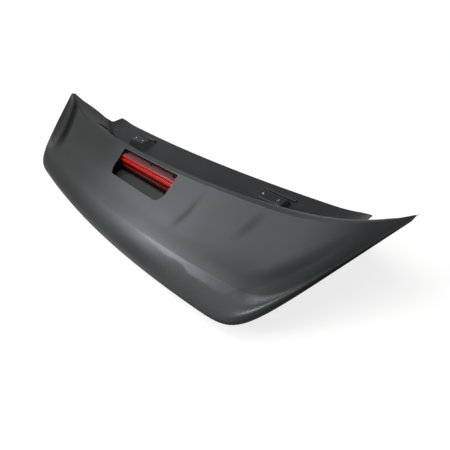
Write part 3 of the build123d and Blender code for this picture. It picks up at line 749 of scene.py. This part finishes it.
# The flat top is greyed and dulled by a film of dust, and its grey is partly a painted reflection too.
film_starts = 0.3 * MM  # in front of the crest
film_full = 1.2 * MM  # behind it
smear_width = 14 * MM
film = add(
    tree, "ShaderNodeMapRange",
    {"interpolation_type": "SMOOTHSTEP", "From Min": rim - lens_top - film_starts,
     "From Max": rim - lens_top + film_full},
    {"Value": parts["Y"]})
smear = add(tree, "ShaderNodeTexNoise", {"Scale": 1 / smear_width, "Detail": 4.0}, {"Vector": place})
dust_and_reflection = add(
    tree, "ShaderNodeMix",
    {"data_type": "RGBA", 6: colour("643230"), 7: colour("745050")}, {0: smear.outputs["Fac"]})
tone = add(
    tree, "ShaderNodeMix", {"data_type": "RGBA"},
    {0: film.outputs["Result"], 6: finish["tone"], 7: dust_and_reflection.outputs[2]})
gloss = add(tree, "ShaderNodeMapRange", {"To Min": 0.22, "To Max": 0.42}, {"Value": film.outputs["Result"]})
wire(tree, shader, Base_Color=tone.outputs[2], Roughness=gloss.outputs["Result"])


def arch(start, end, bulge, steps=8):
    """Points of a rounded ridge between two points of the lens's section, without its end."""
    outward = (end - start).orthogonal().normalized()
    return [
        start.lerp(end, i / steps) + outward * bulge * math.sin(math.pi * i / steps) for i in range(steps)]


crest = Vector((rim - lens_top, top))
foot = crest + Vector((-ridge_run, -ridge_drop))
valley = crest.lerp(foot, 0.5)
sill = Vector((foot.x - lens_lean, low.z))
front = (sill - foot).normalized()
bead_at = foot + front * (bead_drop - ridge_drop)
outer = [Vector((rim, top))] + arch(crest, valley, -ridge_bulge) + arch(valley, foot, -ridge_bulge) + [foot]
outer += [bead_at, bead_at + Vector((-bead, -bead)), bead_at + Vector((-bead, -2 * bead))]
outer += [bead_at + front * 3 * bead, sill - front * sill_edge, sill + Vector((sill_edge, 0))]
outer += [Vector((rim, low.z))]
inner = [
    Vector((rim, top - lens_wall)), crest + Vector((crest_inset, -lens_wall)),
    foot + lens_wall * ridge_inward, sill + Vector((lens_wall, lens_wall)),
    Vector((rim, low.z + lens_wall))]
work = bmesh.new()
ends = []
for section, half in ((outer, high.x), (inner, high.x - lens_wall)):
    pair = [[work.verts.new((x, p.x, p.y)) for p in section] for x in (-half, half)]
    for i in range(len(section) - 1):
        work.faces.new((pair[0][i], pair[0][i + 1], pair[1][i + 1], pair[1][i]))
    for loop in pair:
        work.faces.new(loop)
    ends.append(pair)
(left, right), (left_in, right_in) = ends
for edge in (0, -1):
    work.faces.new((left[edge], right[edge], right_in[edge], left_in[edge]))
for end, end_in in ((left, left_in), (right, right_in)):
    work.faces.new((end[0], end[-1], end_in[-1], end_in[0]))
bmesh.ops.recalc_face_normals(work, faces=work.faces)
lens = shaped("lens_cover", work, crease=30)
slot_size = Matrix.Diagonal((slot_width, slot_depth, 3 * lens_wall, 1.0))
tab_size = Matrix.Diagonal((tab_width, lens_wall, 2 * tab_height, 1.0))
for name, places, inset, size, operation in (
        ("clip_slots", slot_places, slot_inset, slot_size, "DIFFERENCE"),
        ("clips", tab_places, lens_wall / 2, tab_size, "UNION")):
    work = bmesh.new()
    for x in places:
        bmesh.ops.create_cube(work, size=1.0, matrix=Matrix.Translation((x, rim - inset, top)) @ size)
    change = lens.modifiers.new(name, "BOOLEAN")
    change.operation = operation
    change.object = shaped(name, work)
evaluated(lens)
for name in ("clip_slots", "clips"):
    bpy.data.objects.remove(bpy.data.objects[name])
lens.data.set_sharp_from_angle(angle=math.radians(30))
lens.data.materials.clear()
lens.data.materials.append(red_pmma)
stand_for(lens, "lamp_lens")

# Lamp screws: two pan heads on the back wall's pads that hold the whole lamp.
# Rolled from steel wire and zinc plated, with a cross recess, driven from the front side of the wall.
lamp_head = 5 * MM
lamp_head_height = 3 * MM
lamp_shank = 2.2 * MM
lamp_recess = 3.0 * MM
low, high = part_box("lamp_screws")
lamp_screw = cross_screw(
    "lamp_screw", lamp_head, lamp_head_height, lamp_shank, high.y - low.y - lamp_head_height, lamp_recess)
lamp_screw.data.transform(Matrix.Rotation(math.pi, 4, "Z"))
pair = set_out(
    "lamp_screw_pair", lamp_screw, zinc,
    (low.x + lamp_head, high.y - lamp_head_height, (low.z + high.z) / 2),
    (2, (high.x - low.x - 2 * lamp_head, 0, 0)))
stand_for(pair, "lamp_screws")

# Studio: a pale paper floor that reads white to the horizon, a dim room, and four soft boxes. Two on the
# left draw the highlight along the border, one at the rear lights the corner, and one is overhead.
floor_reach = 60.0
floor_drop = 0.4 * MM
shade_reach = 0.6  # the paper is a little grey this far around the object
white_reach = 2.4
sides = ((-1, -1), (1, -1), (1, 1), (-1, 1))
corners = [(x * floor_reach, y * floor_reach, -floor_drop) for x, y in sides]
floor_mesh = bpy.data.meshes.new("floor")
floor_mesh.from_pydata(corners, [], [(0, 1, 2, 3)])
floor = bpy.data.objects.new("floor", floor_mesh)
bpy.context.scene.collection.objects.link(floor)
paper, tree, shader, place = material(
    "white_paper_sweep", Roughness=0.9, Base_Color=colour("858585"), Emission_Color=colour("FFFFFF"))
away = add(tree, "ShaderNodeVectorMath", {"operation": "LENGTH"}, {0: place})
lift = add(
    tree, "ShaderNodeMapRange",
    {"interpolation_type": "SMOOTHSTEP", "From Min": shade_reach, "From Max": white_reach, "To Min": 0.80},
    {"Value": away.outputs["Value"]})
rays = add(tree, "ShaderNodeLightPath").outputs
mirrored = add(
    tree, "ShaderNodeMath", {"operation": "MAXIMUM"},
    {0: rays["Is Glossy Ray"], 1: rays["Is Transmission Ray"]})
seen = add(
    tree, "ShaderNodeMath", {"operation": "MAXIMUM"}, {0: rays["Is Camera Ray"], 1: mirrored.outputs[0]})
lit = add(
    tree, "ShaderNodeMath", {"operation": "MULTIPLY"}, {0: seen.outputs[0], 1: lift.outputs["Result"]})
wire(tree, shader, Emission_Strength=lit.outputs[0])
floor_mesh.materials.append(paper)

# The room is dim overhead and brighter near the horizon. It is white where the camera sees it, and near the
# horizon also where the object mirrors it, so that it meets the floor without a line.
world = bpy.data.worlds.new("studio")
bpy.context.scene.world = world
world.use_nodes = True
tree = world.node_tree
sky = tree.nodes["Background"]
sky.inputs["Color"].default_value = colour("FFFFFF")
direction = add(tree, "ShaderNodeTexCoord").outputs["Generated"]
height = add(tree, "ShaderNodeSeparateXYZ", links={"Vector": direction})
fade = add(
    tree, "ShaderNodeMapRange", {"From Min": 0.05, "From Max": 0.35, "To Min": 0.45, "To Max": 0.18},
    {"Value": height.outputs["Z"]})
low_sky = add(
    tree, "ShaderNodeMapRange", {"From Min": 0.1, "From Max": 0.0}, {"Value": height.outputs["Z"]})
rays = add(tree, "ShaderNodeLightPath").outputs
mirrored = add(
    tree, "ShaderNodeMath", {"operation": "MAXIMUM"},
    {0: rays["Is Glossy Ray"], 1: rays["Is Transmission Ray"]})
mirrored = add(
    tree, "ShaderNodeMath", {"operation": "MULTIPLY"},
    {0: mirrored.outputs[0], 1: low_sky.outputs["Result"]})
white = add(
    tree, "ShaderNodeMath", {"operation": "MAXIMUM"}, {0: rays["Is Camera Ray"], 1: mirrored.outputs[0]})
shown = add(
    tree, "ShaderNodeMath", {"operation": "MAXIMUM"}, {0: white.outputs[0], 1: fade.outputs["Result"]})
tree.links.new(shown.outputs[0], sky.inputs["Strength"])


def soft_box(name, at, width, height, power, tint):
    """A soft light that faces the middle of the object."""
    data = bpy.data.lights.new(name, "AREA")
    data.shape = "RECTANGLE"
    data.size = width
    data.size_y = height
    data.energy = power
    data.color = colour(tint)[:3]
    lamp = bpy.data.objects.new(name, data)
    bpy.context.scene.collection.objects.link(lamp)
    lamp.location = at
    lamp.rotation_euler = (-Vector(at)).to_track_quat("-Z", "Y").to_euler()


soft_box("left_strip", at=(-1.70, -0.43, 1.45), width=0.9, height=0.30, power=10.5, tint="F0FAFF")
soft_box("left_box", at=(-1.50, 0.10, 1.60), width=0.6, height=0.5, power=2.4, tint="F6FBFF")
soft_box("rear_box", at=(-0.45, -1.60, 1.55), width=0.5, height=0.35, power=13, tint="F6FBFF")
soft_box("top_box", at=(0.3, -0.55, 2.6), width=1.8, height=1.8, power=50, tint="FFFDFA")

# Camera: where the photograph was taken from, above the right end and behind the rear edge, with a wide
# lens. Its place and turn were worked out from the part's ear tips, flange corners, holes and window.
eye = Vector((742.1, -258.7, 444.7)) * MM
right = Vector((0.6171, 0.7503, -0.2369))
up = Vector((-0.3622, 0.5382, 0.7610))
behind = Vector((0.6986, -0.3839, 0.6039))
camera_data = bpy.data.cameras.new("camera")
camera_data.lens = 30.4
camera_data.sensor_width = 36.0
camera_data.clip_start = 0.01
camera_data.clip_end = 200.0
camera = bpy.data.objects.new("camera", camera_data)
bpy.context.scene.collection.objects.link(camera)
camera.matrix_world = Matrix.Translation(eye) @ Matrix((right, up, behind)).transposed().to_4x4()
bpy.context.scene.camera = camera
bpy.context.scene.view_settings.view_transform = "Standard"
